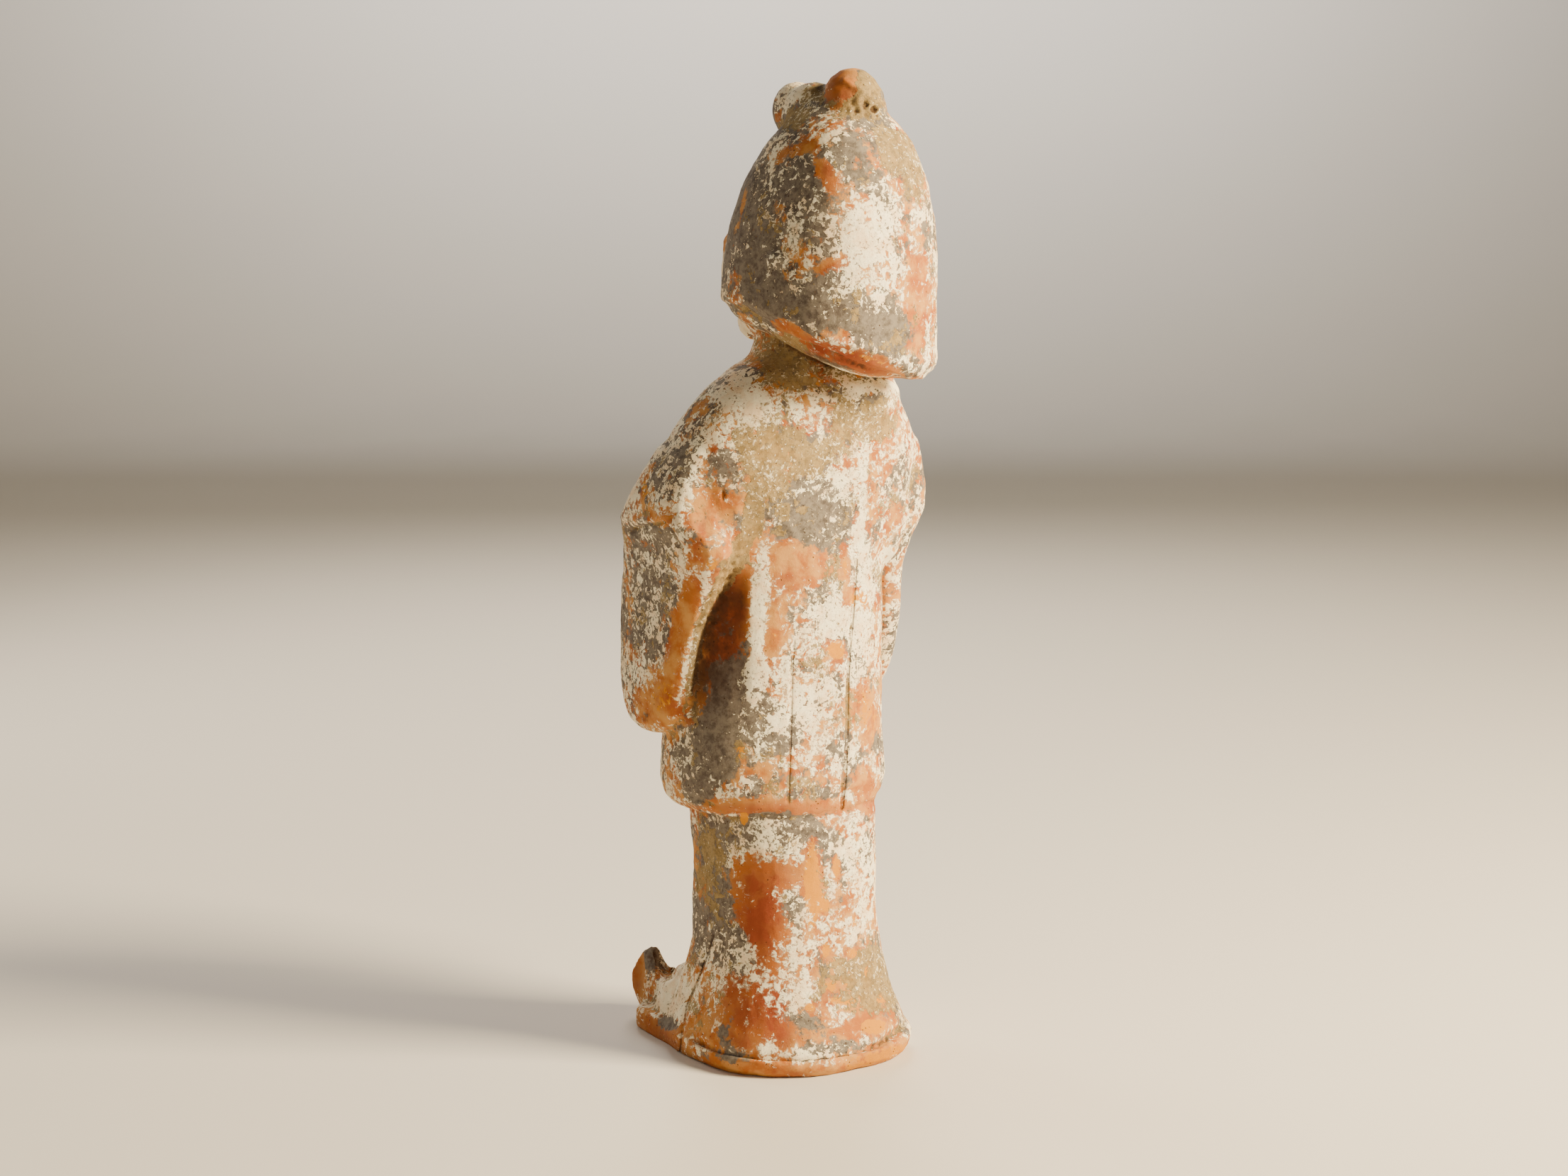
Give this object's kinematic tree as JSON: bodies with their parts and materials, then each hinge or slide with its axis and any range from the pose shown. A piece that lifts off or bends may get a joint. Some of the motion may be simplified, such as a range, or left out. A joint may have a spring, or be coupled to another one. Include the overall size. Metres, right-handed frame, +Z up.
{
  "type": "pottery figure",
  "caption": "Standing pottery lady with a tall hood of hair and a topknot, a tunic with long hanging sleeves, a flared skirt and upturned shoes, on a low slab.",
  "frame": {"origin": "under the middle of the figure's bounding box, on the plane it stands on", "axes": "+Z up along the figure, -Y the way the body faces, +X to the figure's left"},
  "size_m": [0.1306, 0.1398, 0.3992],
  "materials": {
    "figure": "matt low-fired orange clay with flaked white slip and dried soil"
  },
  "bodies": {
    "root": {"figure": "figure"}
  },
  "joints": []
}
